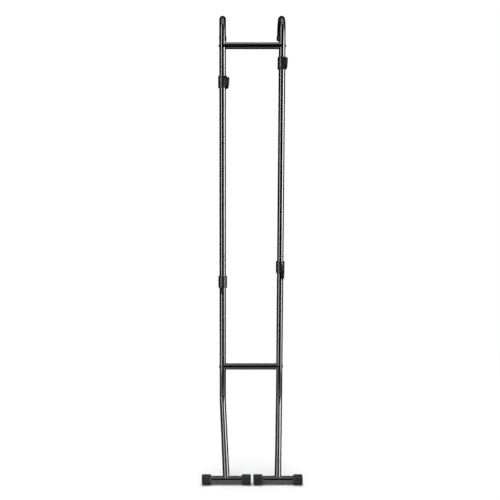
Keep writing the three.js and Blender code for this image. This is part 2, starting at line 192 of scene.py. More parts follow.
# Studio
FLOOR_RADIUS = 3.2
FLOOR_FADE_SHARE = 0.35
FLOOR_LEVEL = 0.96
FLOOR_MOTTLE = 0.02
FLOOR_ROUGHNESS = 0.9
FLOOR_SPECULAR = 0.1
FLOOR_MIRRORED_FROM = (-0.05, -0.15)
FLOOR_MIRRORED_TO = (-1.25, -1.05)
FLOOR_GLOW = 0.01
AMBIENT_LOW = 0.16
AMBIENT_HIGH = 6.0
AMBIENT_LEAN = math.radians(9)
AMBIENT_EDGE = 0.85
AMBIENT_FULL = 0.985
# Dark level of the room in reflections; the floor is painted to this level in reflections too, as painted shade
# under and behind the tower
ROOM_AND_FLOOR_SHADE_IN_REFLECTIONS = 0.01
CEILING_IN_REFLECTIONS = 0.7
CEILING_LEAN = 0.5
CEILING_EDGE = 0.68
CEILING_FULL = 0.93
BACKDROP_EDGE = 0.985
BACKDROP_FULL = 0.998
BOX_DISTANCE = 1.7
RIGHT_BOX = {
    "azimuth": math.radians(59),
    "width": 0.6,
    "heights": (0.03, 5.2),
    "radiance": 18.5,
    "fades": ((1.6, -0.1, 0.42), (2.38, 2.47, 0.27), (2.5, 3.4, 0.35)),
}
LEFT_BOX = {
    "azimuth": math.radians(-44),
    "width": 0.44,
    "heights": (0.03, 5.0),
    "radiance": 9.2,
    "fades": ((2.9, 4.2, 0.36),),
}
OVERHEAD_PLACE = (0, -0.75, 4.6)
OVERHEAD_SIZE = (1.5, 1.9)
OVERHEAD_RADIANCE = 1.0
KEY_PLACE = (-1.2, -1.8, 4.2)
KEY_SIZE = (2.4, 2.4)
KEY_RADIANCE = 0.7
KEY_TARGET_HEIGHT = 1

# Camera
CAMERA_LENS = 51.77
CAMERA_SENSOR = 36
CAMERA_SHIFT = 0.0477
CAMERA_X = -0.125
CAMERA_DISTANCE = 3.518
CAMERA_HEIGHT = 1.5252
CAMERA_PITCH = math.radians(6.742)


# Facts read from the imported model

RECORD = frame["record"]
SLOT_OF = {entry["node"]: entry["material_slot"] for entry in RECORD["subparts"]}
BODY_OF = {node: body for body, nodes in RECORD["behaviour"]["bodies"].items() for node in nodes}
SIDES = {"left": 1, "right": -1}
ARMS = ("left_upper", "right_upper", "left_lower", "right_lower")


def middle(node):
    low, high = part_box(node)
    return (low + high) / 2


def joint(name):
    return next(j for j in frame["joints"] if j["name"] == name)


POLE_Y = middle("left_upper_pole").y
POLE_X = {side: middle(f"{side}_upper_pole").x for side in SIDES}
FOOT_Y = middle("left_outer_foot_cap").y
BAR_HEIGHTS = {level: middle(f"{level}_crossbar").z for level in ("top", "lower")}
CANE_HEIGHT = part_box("left_cane_tube")[0].z - SEAT_GAP + CANE_STRAIGHT
CANE_TIP = Vector((0, POLE_Y + 2 * CANE_BEND_RADIUS, CANE_HEIGHT - CANE_TIP_LENGTH))
LEG_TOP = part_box("left_lower_pole")[0].z - SEAT_GAP
FOOT_HEIGHT = CAP_RADIUS - CAP_PAD_DEPTH


# Modelling helpers

def facing(place, heading):
    """Matrix that carries a shape made along +Z to a place and a heading."""
    return Matrix.Translation(place) @ UP.rotation_difference(heading).to_matrix().to_4x4()


def ring_edges(verts):
    verts = set(verts)
    return list({e for v in verts for e in v.link_edges if e.other_vert(v) in verts})


def only_verts(geometry):
    return [g for g in geometry if isinstance(g, bmesh.types.BMVert)]


class Tube:
    """A ring of vertices carried along runs, bends and tapers, with the tube's skin left behind it."""

    def __init__(self, place, heading, radius, sides=TUBE_SIDES):
        self.bm = bmesh.new()
        self.place = place.copy()
        self.heading = heading.normalized()
        self.radius = radius
        made = bmesh.ops.create_circle(self.bm, cap_ends=False, radius=radius, segments=sides)
        self.ring = made["verts"]
        self.first = list(self.ring)
        bmesh.ops.transform(self.bm, matrix=facing(place, self.heading), verts=self.ring)

    def run(self, length, radius=None):
        """Carries the ring straight on, and to another radius where one is given."""
        made = bmesh.ops.extrude_edge_only(self.bm, edges=ring_edges(self.ring))["geom"]
        self.ring = only_verts(made)
        step = self.heading * length
        bmesh.ops.translate(self.bm, vec=step, verts=self.ring)
        self.place += step
        if radius is not None:
            share = radius / self.radius
            about = Matrix.Translation(-self.place)
            bmesh.ops.scale(self.bm, vec=(share, share, share), space=about, verts=self.ring)
            self.radius = radius
        return self

    def bend(self, towards, radius):
        """Carries the ring round a bend until it heads in a new direction."""
        axis = self.heading.cross(towards).normalized()
        angle = self.heading.angle(towards)
        centre = self.place + axis.cross(self.heading) * radius
        made = bmesh.ops.spin(
            self.bm, geom=self.ring + ring_edges(self.ring), cent=centre, axis=axis, dvec=(0, 0, 0),
            angle=angle, steps=math.ceil(angle / BEND_STEP), use_merge=False, use_duplicate=False,
        )
        self.ring = only_verts(made["geom_last"])
        turn = Matrix.Rotation(angle, 3, axis)
        self.place = centre + turn @ (self.place - centre)
        self.heading = towards.normalized()
        return self

    def dome(self, length, steps):
        """Closes the tube with a rounded end."""
        full = self.radius
        for i in range(1, steps + 1):
            before = math.sin(math.pi / 2 * (i - 1) / (steps + 1))
            after = math.sin(math.pi / 2 * i / (steps + 1))
            self.run(length * (after - before), full * math.sqrt(1 - after * after))
        return self.close()

    def close(self):
        bmesh.ops.contextual_create(self.bm, geom=ring_edges(self.ring))
        return self

    def hollow(self, wall):
        """Gives the skin a wall on its inner side."""
        bmesh.ops.recalc_face_normals(self.bm, faces=self.bm.faces)
        bmesh.ops.solidify(self.bm, geom=self.bm.faces[:], thickness=wall)
        return self


def turned(profile, sides=TUBE_SIDES, angle=2 * math.pi):
    """Shape turned about +Z from a profile of (radius, height) pairs."""
    bm = bmesh.new()
    verts = [bm.verts.new((radius, 0, height)) for radius, height in profile]
    geom = verts + [bm.edges.new(pair) for pair in zip(verts, verts[1:])]
    if profile[0][0] > 0:
        geom.append(bm.edges.new((verts[-1], verts[0])))
    whole = math.isclose(angle, 2 * math.pi)
    if not whole:
        geom.append(bm.faces.new(verts))
    bmesh.ops.spin(bm, geom=geom, cent=(0, 0, 0), axis=UP, dvec=(0, 0, 0), angle=angle, steps=sides,
                   use_merge=whole, use_duplicate=False)
    return tidy(bm)


def shape_ring(ring, outline, height):
    """Puts a ring of vertices on an outline, which is a radius or a function of the angle."""
    for v in ring:
        angle = math.atan2(v.co.y, v.co.x)
        radius = outline(angle) if callable(outline) else outline
        v.co = (radius * math.cos(angle), radius * math.sin(angle), height)


def lofted(stations, sides):
    """Closed shape through stations of (outline, height) along +Z."""
    bm = bmesh.new()
    ring = bmesh.ops.create_circle(bm, cap_ends=True, radius=1, segments=sides)["verts"]
    shape_ring(ring, *stations[0])
    for station in stations[1:]:
        ring = only_verts(bmesh.ops.extrude_edge_only(bm, edges=ring_edges(ring))["geom"])
        shape_ring(ring, *station)
    bmesh.ops.contextual_create(bm, geom=ring_edges(ring))
    return tidy(bm)


def tidy(bm):
    """Merges what lies together and turns the faces outwards."""
    bmesh.ops.remove_doubles(bm, verts=bm.verts, dist=SAME_PLACE)
    bmesh.ops.recalc_face_normals(bm, faces=bm.faces)
    return bm


def soften(bm, width):
    """Rounds the sharp edges."""
    sharp = [e for e in bm.edges if len(e.link_faces) == 2 and e.calc_face_angle() > SHARP_ANGLE]
    bmesh.ops.bevel(bm, geom=sharp, offset=width, offset_type="OFFSET", segments=EDGE_SEGMENTS, profile=0.5,
                    affect="EDGES", material=-1, clamp_overlap=True)
    return bm


def placed(bm, matrix):
    bmesh.ops.transform(bm, matrix=matrix, verts=bm.verts)
    return bm


def joined(*shapes):
    """One mesh of several separate shells."""
    whole = bmesh.new()
    for shape in shapes:
        part = bpy.data.meshes.new("part")
        shape.to_mesh(part)
        shape.free()
        whole.from_mesh(part)
        bpy.data.meshes.remove(part)
    return whole


def drilled(shape, drill):
    """Takes a closed shape out of another one."""
    parts = []
    for solid in (shape, drill):
        mesh = bpy.data.meshes.new("part")
        solid.to_mesh(mesh)
        solid.free()
        part = bpy.data.objects.new("part", mesh)
        bpy.context.scene.collection.objects.link(part)
        parts.append(part)
    cut = parts[0].modifiers.new("cut", "BOOLEAN")
    cut.operation = "DIFFERENCE"
    cut.solver = "EXACT"
    cut.object = parts[1]
    result = bmesh.new()
    result.from_object(parts[0], bpy.context.evaluated_depsgraph_get())
    for part in parts:
        mesh = part.data
        bpy.data.objects.remove(part)
        bpy.data.meshes.remove(mesh)
    return result


def reach(point, along, centre, axis, radius):
    """How far a point goes along a direction until it lies on a round bar, on the side it points to."""
    offset = point - centre
    offset -= offset.dot(axis) * axis
    across = along - along.dot(axis) * axis
    half = offset.dot(across) / across.length_squared
    gap = (offset.length_squared - radius * radius) / across.length_squared
    return -half + math.sqrt(max(0, half * half - gap))


def seat(verts, along, centre, axis, radius):
    """Moves vertices along a direction on to a round bar's surface."""
    for v in verts:
        v.co += along * reach(v.co, along, centre, axis, radius)


def weld_bead(place, along, radius, centre, axis, bar_radius):
    """Rippled bead round the foot of a bar that stands on another bar."""
    count = round(2 * math.pi * radius / BEAD_RIPPLE_PITCH)
    bm = bmesh.new()
    made = bmesh.ops.create_circle(bm, cap_ends=False, radius=BEAD_RADIUS, segments=BEAD_SIDES)
    bmesh.ops.rotate(bm, verts=bm.verts, cent=(0, 0, 0), matrix=Matrix.Rotation(math.pi / 2, 3, "X"))
    bmesh.ops.translate(bm, vec=ACROSS * radius, verts=bm.verts)
    bmesh.ops.spin(bm, geom=made["verts"] + bm.edges[:], cent=(0, 0, 0), axis=UP, dvec=(0, 0, 0),
                   angle=2 * math.pi, steps=count * BEAD_RIPPLE_STEPS, use_merge=True, use_duplicate=False)
    tidy(bm)
    turn = facing(place, along)
    for v in bm.verts:
        angle = math.atan2(v.co.y, v.co.x)
        core = Vector((radius * math.cos(angle), radius * math.sin(angle), 0))
        swell = 1 + BEAD_RIPPLE * math.sin(count * angle)
        foot = turn @ core
        v.co = turn @ (core + (v.co - core) * swell) + along * reach(foot, along, centre, axis, bar_radius)
    return bm


def rounded_rise(radius, corner, from_height, to_height, steps):
    """Stations round a corner, from the side of a shape to its end face."""
    stations = []
    way = 1 if to_height > from_height else -1
    for i in range(steps + 1):
        turn = math.pi / 2 * i / steps
        height = to_height - way * corner * (1 - math.sin(turn))
        stations.append((radius - corner * (1 - math.cos(turn)), height))
    return stations


# Frame pieces

def pole_tube(node):
    """Straight tube, open below and swaged above to enter the next one."""
    low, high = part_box(node)
    length = high.z - low.z - SPIGOT_LENGTH
    bore = TUBE_RADIUS - TUBE_WALL
    shape = turned([
        (bore, 0),
        (TUBE_RADIUS, 0),
        (TUBE_RADIUS, length - SHOULDER_LENGTH),
        (SPIGOT_RADIUS, length),
        (SPIGOT_RADIUS, length + SPIGOT_LENGTH),
        (SPIGOT_RADIUS - TUBE_WALL, length + SPIGOT_LENGTH),
        (SPIGOT_RADIUS - TUBE_WALL, length),
        (bore, length - SHOULDER_LENGTH),
    ])
    centre = (low + high) / 2
    return placed(soften(shape, TUBE_EDGE), Matrix.Translation((centre.x, centre.y, low.z)))


def cane_tube(side):
    """Top of a pole, bent over backwards."""
    start = Vector((POLE_X[side], POLE_Y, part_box(f"{side}_cane_tube")[0].z))
    tube = Tube(start, UP, TUBE_RADIUS)
    tube.run(CANE_HEIGHT - start.z).bend(BACK, CANE_BEND_RADIUS).bend(-UP, CANE_BEND_RADIUS)
    tube.run(CANE_TIP_LENGTH).hollow(TUBE_WALL)
    return soften(tube.bm, TUBE_EDGE)


def foot_centre(side):
    return Vector((POLE_X[side] + SIDES[side] * FOOT_INSET, POLE_Y - FOOT_REACH, FOOT_HEIGHT))


def leg_direction(side):
    knee = Vector((POLE_X[side], POLE_Y, KNEE_HEIGHT))
    return (foot_centre(side) - knee).normalized()


def leg_tube(side):
    """Bottom of a pole, swaged above and bent forwards at the knee."""
    down = leg_direction(side)
    start = Vector((POLE_X[side], POLE_Y, LEG_TOP + SPIGOT_LENGTH))
    setback = KNEE_BEND_RADIUS * math.tan((-UP).angle(down) / 2)
    end = foot_centre(side) - down * (STUB_LENGTH + SEAT_GAP)
    tube = Tube(start, -UP, SPIGOT_RADIUS)
    tube.run(SPIGOT_LENGTH).run(SHOULDER_LENGTH, TUBE_RADIUS)
    tube.run(tube.place.z - KNEE_HEIGHT - setback).bend(down, KNEE_BEND_RADIUS)
    tube.run((end - tube.place).length).hollow(TUBE_WALL)
    return soften(tube.bm, TUBE_EDGE)


def foot_tube(side):
    """Cross tube on the floor with the swaged stub welded on it."""
    centre = foot_centre(side)
    up = -leg_direction(side)
    inner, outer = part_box(f"{side}_foot_tube")
    cross = Tube(Vector((inner.x, centre.y, centre.z)), ACROSS, TUBE_RADIUS)
    cross.run(outer.x - inner.x).hollow(TUBE_WALL)
    stub = Tube(centre, up, TUBE_RADIUS)
    stub.run(STUB_LENGTH - SHOULDER_LENGTH).run(SHOULDER_LENGTH, SPIGOT_RADIUS).run(SPIGOT_LENGTH)
    seat(stub.first, up, centre, ACROSS, TUBE_RADIUS - STUB_SINK)
    stub.hollow(TUBE_WALL)
    bead = weld_bead(centre, up, TUBE_RADIUS + BEAD_RADIUS * BEAD_OUT_SHARE, centre, ACROSS, TUBE_RADIUS)
    return joined(soften(cross.bm, TUBE_EDGE), soften(stub.bm, TUBE_EDGE), bead)


def crossbar(level):
    """Tube between the poles, each end coped to a pole."""
    height = BAR_HEIGHTS[level]
    left, right = (Vector((POLE_X[side], POLE_Y, height)) for side in SIDES)
    tube = Tube(left, ACROSS, TUBE_RADIUS)
    tube.run(right.x - left.x)
    seat(tube.first, ACROSS, left, UP, TUBE_RADIUS + SEAT_GAP)
    seat(tube.ring, -ACROSS, right, UP, TUBE_RADIUS + SEAT_GAP)
    return tube.hollow(TUBE_WALL).bm


def crossbar_bolt(level, side):
    """Low button head with a hexagon socket, and the shank behind it."""
    outwards = -SIDES[side] * ACROSS
    seat_place = Vector((POLE_X[side], POLE_Y, BAR_HEIGHTS[level])) + outwards * (TUBE_RADIUS + SEAT_GAP)

    def hexagon(angle):
        sector = math.pi / 3
        return BOLT_SOCKET * math.cos(sector / 2) / math.cos(angle % sector - sector / 2)

    stations = [(BOLT_RADIUS, -BOLT_LENGTH), (BOLT_RADIUS, 0), (BOLT_HEAD_RADIUS, 0)]
    rim = BOLT_HEAD_HEIGHT * BOLT_RIM_SHARE
    crown = BOLT_HEAD_HEIGHT - rim
    flat = BOLT_HEAD_RADIUS * BOLT_FLAT_SHARE
    for i in range(BOLT_DOME_STEPS + 1):
        turn = math.pi / 2 * i / BOLT_DOME_STEPS
        radius = flat + (BOLT_HEAD_RADIUS - flat) * math.cos(turn)
        stations.append((radius, rim + crown * math.sin(turn)))
    stations += [(hexagon, BOLT_HEAD_HEIGHT), (hexagon, BOLT_HEAD_HEIGHT - BOLT_SOCKET_DEPTH)]
    return placed(lofted(stations, BOLT_SIDES), facing(seat_place, outwards))


# Rubber pieces

def foot_cap(side, end):
    """Fluted cap, open towards the tube and flat where it rests on the floor."""
    node = f"{side}_{end}_foot_cap"
    low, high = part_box(node)
    outwards = ACROSS if high.x + low.x > 2 * foot_centre(side).x else -ACROSS
    mouth = low.x if outwards.x > 0 else high.x

    def fluted(inset, share=1.0):
        def outline(angle):
            groove = max(0, math.cos(FLUTES * angle)) ** FLUTE_SHARPNESS
            return CAP_RADIUS - inset - FLUTE_DEPTH * share * groove
        return outline

    bore = TUBE_RADIUS + SEAT_GAP
    stations = [(bore, CAP_LENGTH - CAP_FLOOR), (bore, CAP_MOUTH_EDGE), (bore + CAP_MOUTH_EDGE, 0)]
    stations += [(CAP_RADIUS - CAP_LIP, 0), (CAP_RADIUS - CAP_LIP / 2, CAP_LIP / 4), (CAP_RADIUS, CAP_LIP)]
    stations += [(CAP_RADIUS, CAP_COLLAR), (fluted(0), CAP_COLLAR + FLUTE_RUN_OUT)]
    for i in range(CAP_CORNER_STEPS + 1):
        turn = math.pi / 2 * i / CAP_CORNER_STEPS
        share = math.cos(turn)
        height = CAP_LENGTH - CAP_CORNER + CAP_CORNER * math.sin(turn)
        stations.append((fluted(CAP_CORNER * (1 - share), share), height))
    stations += [(CAP_DISH_RADIUS, CAP_LENGTH), (CAP_DISH_RADIUS - CAP_DISH, CAP_LENGTH - CAP_DISH)]
    shape = placed(lofted(stations, CAP_SIDES), facing(Vector((mouth, FOOT_Y, FOOT_HEIGHT)), outwards))
    for v in shape.verts:
        v.co.z = max(v.co.z, 0)
    return shape


def wall_boot(side):
    """Ribbed boot on a cane's tip, closed below and flat where it leans."""
    low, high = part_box(f"{side}_wall_boot")
    floor, mouth = low.z, high.z
    bore = TUBE_RADIUS + SEAT_GAP
    stations = [(bore, floor + BOOT_FLOOR), (bore, mouth - BOOT_EDGE), (bore + BOOT_EDGE, mouth)]
    stations += [(BOOT_RADIUS - BOOT_EDGE, mouth), (BOOT_RADIUS, mouth - BOOT_EDGE)]
    pitch = (mouth - floor) / (BOOT_RIBS + BOOT_PLAIN_PITCHES)
    for rib in range(BOOT_RIBS):
        top = mouth - pitch * (rib + 1 - BOOT_RIB_SHARE / 2)
        for share, depth in BOOT_RIB_PROFILE:
            stations.append((BOOT_RADIUS - depth * BOOT_RIB_DEPTH, top - pitch * BOOT_RIB_SHARE * share))
    stations += rounded_rise(BOOT_RADIUS, BOOT_CORNER, mouth, floor, BOOT_CORNER_STEPS)
    shape = placed(lofted(stations, TUBE_SIDES), Matrix.Translation((POLE_X[side], CANE_TIP.y, 0)))
    for v in shape.verts:
        v.co.y = min(v.co.y, high.y)
    return shape


# Arm pieces, made round the pole's axis at the height of the arm, with the hook towards -Y

def liner_bush():
    """Split, flanged sleeve between pole and collar."""
    half = BUSH_HEIGHT / 2
    flange = half - BUSH_FLANGE
    slit = BUSH_SLIT / BUSH_RADIUS
    shape = turned([
        (BUSH_BORE, -half),
        (COLLAR_RADIUS, -half),
        (COLLAR_RADIUS, -flange),
        (BUSH_RADIUS, -flange),
        (BUSH_RADIUS, flange),
        (COLLAR_RADIUS, flange),
        (COLLAR_RADIUS, half),
        (BUSH_BORE, half),
    ], angle=2 * math.pi - slit)
    return placed(soften(shape, BUSH_EDGE), Matrix.Rotation(math.pi + slit / 2, 4, "Z"))


def collar():
    """Steel sleeve with a threaded boss welded on behind."""
    half = BUSH_HEIGHT / 2 - BUSH_FLANGE - SEAT_GAP
    bore = BOLT_RADIUS + SEAT_GAP
    wall = [(COLLAR_BORE, -half), (COLLAR_RADIUS, -half), (COLLAR_RADIUS, half), (COLLAR_BORE, half)]
    drill = turned([(0, BUSH_BORE), (bore, BUSH_BORE), (bore, KNOB_START), (0, KNOB_START)], ROD_SIDES)
    sleeve = drilled(soften(turned(wall), COLLAR_EDGE), placed(drill, facing(Vector(), BACK)))
    foot = COLLAR_RADIUS - STUB_SINK
    boss_end = COLLAR_RADIUS + BOSS_LENGTH
    boss = turned([(bore, foot), (BOSS_RADIUS, foot), (BOSS_RADIUS, boss_end), (bore, boss_end)], ROD_SIDES)
    root = [v for v in boss.verts if v.co.z < boss_end - BOSS_LENGTH / 2]
    for v in root:
        v.co.z = 0
    seat(root, UP, Vector(), ACROSS, foot)
    placed(soften(boss, COLLAR_EDGE), facing(Vector(), BACK))
    bead_radius = BOSS_RADIUS + BEAD_RADIUS * BEAD_OUT_SHARE
    boss_bead = weld_bead(Vector(), BACK, bead_radius, Vector(), UP, COLLAR_RADIUS)
    rod_place = UP * ROD_RISE
    rod_bead = weld_bead(rod_place, FRONT, ROD_RADIUS + SEAT_GAP + ROD_BEAD_OUT, Vector(), UP, COLLAR_RADIUS)
    return joined(sleeve, boss, boss_bead, rod_bead)


def along_hook(start, radius, sides, end_short):
    """Tube along the hook's centre line, from a distance in front of the pole to short of the lip's end."""
    lip_foot = Vector((0, -LIP_REACH + (LIP_RISE + CRADLE_DEPTH) * math.tan(LIP_LEAN), -CRADLE_DEPTH))
    lip_end = Vector((0, -LIP_REACH, LIP_RISE))
    lip = lip_end - lip_foot
    lip_setback = CRADLE_RADIUS * math.tan(FRONT.angle(lip) / 2)
    tube = Tube(Vector((0, -start, ROD_RISE)), FRONT, radius, sides)
    tube.run(ROD_REACH - start - ROD_BEND_RADIUS).bend(-UP, ROD_BEND_RADIUS)
    tube.run(ROD_RISE + CRADLE_DEPTH - ROD_BEND_RADIUS - CRADLE_RADIUS).bend(FRONT, CRADLE_RADIUS)
    tube.run(-lip_foot.y - ROD_REACH - CRADLE_RADIUS - lip_setback).bend(lip, CRADLE_RADIUS)
    tube.run(lip.length - lip_setback - end_short)
    return tube


def hook_rod():
    """Bent round bar, seated in the collar's wall."""
    tube = along_hook(COLLAR_BORE + SEAT_GAP, ROD_RADIUS, ROD_SIDES, COVER_TIP + SEAT_GAP)
    bmesh.ops.contextual_create(tube.bm, geom=ring_edges(tube.first))
    tube.close()
    return soften(tidy(tube.bm), ROD_EDGE)


def hook_cover():
    """Soft sleeve dipped over the hook, with a rounded end and a thicker mouth."""
    tube = along_hook(COVER_START, COVER_RADIUS, ROD_SIDES, COVER_DOME)
    tube.dome(COVER_DOME, COVER_DOME_STEPS).hollow(COVER_WALL)
    lip = bmesh.new()
    made = bmesh.ops.create_circle(lip, cap_ends=False, radius=COVER_LIP, segments=BEAD_SIDES)["verts"]
    bmesh.ops.rotate(lip, verts=made, cent=(0, 0, 0), matrix=Matrix.Rotation(math.pi / 2, 3, "X"))
    bmesh.ops.translate(lip, vec=ACROSS * (COVER_RADIUS - COVER_LIP / 2), verts=made)
    bmesh.ops.spin(lip, geom=made + lip.edges[:], cent=(0, 0, 0), axis=UP, dvec=(0, 0, 0), angle=2 * math.pi,
                   steps=ROD_SIDES, use_merge=True, use_duplicate=False)
    placed(tidy(lip), facing(Vector((0, -COVER_START - COVER_LIP, ROD_RISE)), FRONT))
    return joined(soften(tube.bm, COVER_EDGE), lip)


def knob_screw():
    """Threaded screw from the bush through the boss into the grip."""
    profile = [(0, COLLAR_BORE), (BOLT_RADIUS - THREAD_DEPTH, COLLAR_BORE)]
    turns = int((SCREW_END - COLLAR_BORE) / THREAD_PITCH)
    for i in range(turns):
        root = COLLAR_BORE + i * THREAD_PITCH
        profile += [(BOLT_RADIUS - THREAD_DEPTH, root), (BOLT_RADIUS, root + THREAD_PITCH / 2)]
    profile += [(BOLT_RADIUS - THREAD_DEPTH, SCREW_END), (0, SCREW_END)]
    return placed(turned(profile, ROD_SIDES), facing(Vector(), BACK))


def knob_grip():
    """Lobed grip with a hub towards the boss, a dished face and a blind hole for the screw."""
    def lobed(inset):
        return lambda angle: KNOB_RADIUS - inset + KNOB_LOBE * math.cos(KNOB_LOBES * angle)

    bore = BOLT_RADIUS + SEAT_GAP
    back = KNOB_START + KNOB_HUB_LENGTH
    face = back + KNOB_THICKNESS
    stations = [(bore, SCREW_END + SEAT_GAP), (bore, KNOB_START)]
    stations += [
        (KNOB_HUB_RADIUS - KNOB_SMALL_EDGE, KNOB_START),
        (KNOB_HUB_RADIUS, KNOB_START + KNOB_SMALL_EDGE),
        (KNOB_HUB_RADIUS, back),
    ]
    for i in range(KNOB_EDGE_STEPS + 1):
        turn = math.pi / 2 * i / KNOB_EDGE_STEPS
        stations.append((lobed(KNOB_EDGE * (1 - math.sin(turn))), back + KNOB_EDGE * (1 - math.cos(turn))))
    for i in range(KNOB_EDGE_STEPS + 1):
        turn = math.pi / 2 * i / KNOB_EDGE_STEPS
        stations.append((lobed(KNOB_EDGE * (1 - math.cos(turn))), face - KNOB_EDGE * (1 - math.sin(turn))))
    stations += [(KNOB_DISH_RADIUS, face), (KNOB_DISH_RADIUS - KNOB_DISH, face - KNOB_DISH)]
    stations.append((KNOB_DISH_FLAT_RADIUS, face - KNOB_DISH))
    return placed(lofted(stations, KNOB_SIDES), facing(Vector(), BACK))


# Shader networks

class Value:
    """Output of a node that Python expressions work with."""

    def __init__(self, network, socket):
        self.network = network
        self.socket = socket

    def output(self, name):
        """Another output of the same node."""
        return Value(self.network, self.socket.node.outputs[name])

    def math(self, operation, first, second):
        return self.network.node("ShaderNodeMath", {"operation": operation}, {0: first, 1: second})

    def __add__(self, other):
        return self.math("ADD", self, other)

    def __sub__(self, other):
        return self.math("SUBTRACT", self, other)

    def __rsub__(self, other):
        return self.math("SUBTRACT", other, self)

    def __mul__(self, other):
        return self.math("MULTIPLY", self, other)

    __radd__ = __add__
    __rmul__ = __mul__

    def or_more(self, other):
        return self.math("MAXIMUM", self, other)


class Network:
    """Node tree of a material or of the world, filled by one method."""

    def __init__(self, tree):
        self.tree = tree
        tree.nodes.clear()

    def node(self, kind, settings=None, sockets=None, output=0):
        """Adds a node: its settings first, then its sockets' values or links."""
        made = self.tree.nodes.new(kind)
        for name, value in (settings or {}).items():
            setattr(made, name, value)
        for name, value in (sockets or {}).items():
            if isinstance(value, Value):
                self.tree.links.new(value.socket, made.inputs[name])
            else:
                made.inputs[name].default_value = value
        return Value(self, made.outputs[output]) if made.outputs else None

    def place(self, stretch=(1, 1, 1)):
        """Object coordinates, which are metres in the tower's own frame, stretched where a grain runs."""
        where = self.node("ShaderNodeTexCoord", output="Object")
        return self.node("ShaderNodeMapping", {"vector_type": "POINT"}, {"Vector": where, "Scale": stretch})

    def noise(self, where, scale, detail=2.0, roughness=0.5):
        sockets = {"Vector": where, "Scale": scale, "Detail": detail, "Roughness": roughness}
        return self.node("ShaderNodeTexNoise", {"noise_dimensions": "3D"}, sockets, "Fac")

    def cells(self, where, scale):
        sockets = {"Vector": where, "Scale": scale}
        return self.node("ShaderNodeTexVoronoi", {"feature": "F1"}, sockets, "Distance")

    def between(self, value, low, high):
        """Rises smoothly from 0 to 1 while a value goes from low to high."""
        sockets = {"Value": value, "From Min": low, "From Max": high}
        return self.node("ShaderNodeMapRange", {"interpolation_type": "SMOOTHSTEP"}, sockets)

    def blend(self, share, first, second):
        """Colour between two colours."""
        return self.node("ShaderNodeMix", {"data_type": "RGBA"}, {0: share, 6: first, 7: second}, 2)

    def bump(self, height, strength, depth, below=None):
        sockets = {"Height": height, "Strength": strength, "Distance": depth}
        if below is not None:
            sockets["Normal"] = below
        return self.node("ShaderNodeBump", {}, sockets, "Normal")

    def surface(self, sockets):
        """Principled surface, which ends the network."""
        shader = self.node("ShaderNodeBsdfPrincipled", {}, sockets)
        self.node("ShaderNodeOutputMaterial", {}, {"Surface": shader})


def gray(level, warmth=0.0):
    return (level * (1 + warmth), level, level * (1 - warmth), 1)


# Finishes, one for each material slot

def gloss_black_steel(net):
    """Gloss black powder coat: orange peel, soft smudges, specks of dust and hairline rubs along Z."""
    where = net.place()
    broad = net.noise(where, 7, 3)
    smudge = net.between(net.noise(where, 26, 4, 0.6), 0.45, 0.75)
    hairline = net.between(net.noise(net.place((900, 900, 9)), 1, 2), 0.66, 0.74)
    dust = net.between(net.noise(where, 950, 1), 0.74, 0.8) * net.between(broad, 0.4, 0.6)
    peel = net.noise(where, 520, 2)
    net.surface({
        "Base Color": net.blend(dust + broad * 0.2, gray(0.004, -0.03), gray(0.02, 0.02)),
        "Roughness": 0.13 + smudge * 0.11 + hairline * 0.12 + dust * 0.3,
        "Specular IOR Level": 0.6,
        "Coat Weight": 1 - smudge * 0.25,
        "Coat Roughness": 0.06,
        "Normal": net.bump(peel, 0.05, 0.0002),
    })


def satin_black_steel(net):
    """Satin black powder coat with a fine grain and rubbed, slightly shinier stretches."""
    where = net.place()
    broad = net.noise(where, 14, 3)
    grain = net.noise(where, 2400, 2, 0.6)
    rub = net.between(net.noise(net.place((60, 60, 14)), 1, 3), 0.55, 0.75)
    net.surface({
        "Base Color": net.blend(broad * 0.6 + grain * 0.4, gray(0.009, -0.02), gray(0.018, -0.02)),
        "Roughness": 0.27 + grain * 0.1 - rub * 0.06,
        "Specular IOR Level": 0.5,
        "Normal": net.bump(grain, 0.35, 0.00012, net.bump(net.noise(where, 300, 2), 0.15, 0.0004)),
    })


def black_zinc_steel(net):
    """Black zinc plate, with a faint brown and blue cast and bright rubs."""
    where = net.place()
    cast = net.noise(where, 160, 3)
    rub = net.between(net.noise(where, 700, 3), 0.6, 0.75)
    net.surface({
        "Base Color": net.blend(rub * 0.5, net.blend(cast, (0.045, 0.04, 0.036, 1), (0.035, 0.037, 0.045, 1)),
                                gray(0.22)),
        "Metallic": 0.85 + rub * 0.15,
        "Roughness": 0.34 + cast * 0.14,
        "Normal": net.bump(net.noise(where, 1800, 2), 0.15, 0.0001),
    })


def lining_plastic(net):
    """Moulded black nylon, lightly etched, with faint pale scuffs."""
    where = net.place()
    etch = net.noise(where, 1900, 2, 0.7)
    scuff = net.between(net.noise(net.place((220, 220, 30)), 1, 3), 0.62, 0.78)
    net.surface({
        "Base Color": net.blend(etch * 0.3 + scuff * 0.5, gray(0.006), gray(0.02)),
        "Roughness": 0.5 + etch * 0.14 + scuff * 0.1,
        "Specular IOR Level": 0.3,
        "Normal": net.bump(etch, 0.3, 0.0001),
    })


def soft_cover(net):
    """Dipped soft vinyl: nearly black, waxy, with slow waves left by dipping and tiny pits."""
    where = net.place()
    wave = net.noise(where, 130, 2)
    pits = net.between(net.cells(where, 1500), 0.12, 0.3)
    worn = net.between(net.noise(where, 60, 4), 0.55, 0.8)
    net.surface({
        "Base Color": net.blend(worn * 0.8, gray(0.003), gray(0.009, 0.03)),
        "Roughness": 0.46 + worn * 0.14 + wave * 0.06,
        "Specular IOR Level": 0.16,
        "Normal": net.bump(pits, 0.2, 0.00006, net.bump(wave, 0.35, 0.0006)),
    })


